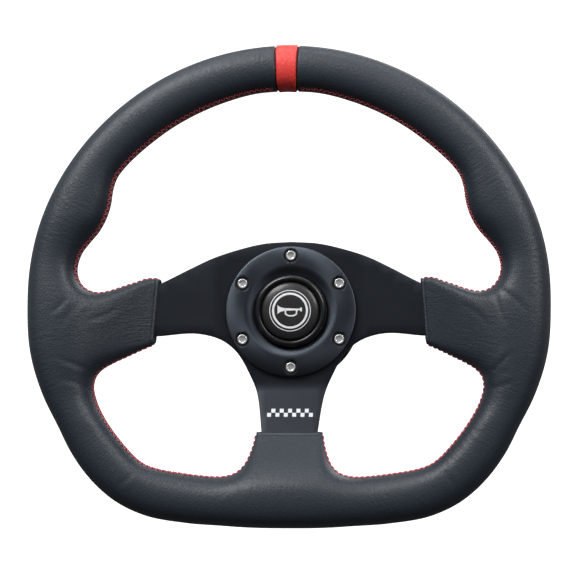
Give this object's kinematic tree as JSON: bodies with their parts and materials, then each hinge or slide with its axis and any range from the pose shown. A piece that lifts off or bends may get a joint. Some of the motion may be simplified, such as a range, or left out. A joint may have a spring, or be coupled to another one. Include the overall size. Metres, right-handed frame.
{
  "type": "quick release steering wheel",
  "caption": "Flat-bottomed sports steering wheel with stitched leather grip, bent spokes and horn button, on a splined hub released by a sprung pull-back collar.",
  "frame": {"origin": "centre of the column hub's rear face, where it bolts to the column's boss", "axes": "+Y along the steering axis away from the driver, +Z towards twelve o'clock on the wheel, +X to the driver's right"},
  "size_m": [0.3206, 0.0982, 0.2964],
  "materials": {
    "black_leather": "fine-grained matte black leather",
    "red_leather": "red leather band",
    "red_thread": "waxed red thread",
    "foam": "moulded polyurethane foam",
    "satin_black_anodised": "satin black anodised aluminium",
    "bare_aluminium": "bare aluminium",
    "gloss_black": "gloss black",
    "stainless": "bright stainless steel",
    "spring_steel": "spring steel",
    "brass": "plain brass",
    "nylon": "moulded nylon"
  },
  "bodies": {
    "column": {"column_hub": "satin_black_anodised", "contact_insulator": "nylon", "contact_disc": "brass"},
    "wheel": {"spoke_plate": "satin_black_anodised", "rim_core": "bare_aluminium", "rim_foam": "foam", "leather_wrap": "black_leather", "centre_marker_band": "red_leather", "seam_thread_top": "red_thread", "seam_thread_left": "red_thread", "seam_thread_right": "red_thread", "horn_ring": "satin_black_anodised", "wheel_screw_1": "stainless", "wheel_screw_2": "stainless", "wheel_screw_3": "stainless", "wheel_screw_4": "stainless", "wheel_screw_5": "stainless", "wheel_screw_6": "stainless", "horn_cup": "nylon", "horn_bezel": "gloss_black", "horn_contact_fixed": "brass", "horn_spring": "spring_steel", "horn_lead": "nylon", "release_body": "satin_black_anodised", "lock_ring": "spring_steel", "collar_snap_ring": "spring_steel", "collar_spring": "spring_steel", "contact_carrier": "nylon", "contact_barrel": "brass"},
    "collar": {"release_collar": "satin_black_anodised"},
    "horn_button": {"horn_cap": "gloss_black", "horn_contact_moving": "brass"},
    "contact_plunger": {"contact_pin": "brass"}
  },
  "joints": [
    {"name": "wheel_pull_off", "type": "slide", "parent": "column", "child": "wheel", "axis": [0, -1, 0], "range_m": [0, 0.04], "deforming": ["lock_ring"]},
    {"name": "collar_pull", "type": "slide", "parent": "wheel", "child": "collar", "axis": [0, -1, 0], "range_m": [0, 0.006], "stiffness_N_per_m": 2500, "springref_m": -0.008, "deforming": ["collar_spring", "lock_ring"]},
    {"name": "horn_press", "type": "slide", "parent": "wheel", "child": "horn_button", "axis": [0, 1, 0], "range_m": [0, 0.002], "stiffness_N_per_m": 3000, "springref_m": -0.002, "deforming": ["horn_spring"]},
    {"name": "contact_pin_extend", "type": "slide", "parent": "wheel", "child": "contact_plunger", "axis": [0, 1, 0], "range_m": [0, 0.0015]}
  ],
  "couplings": [
    {"joint": "contact_pin_extend", "follows": "wheel_pull_off", "ratio": 0.0375}
  ]
}
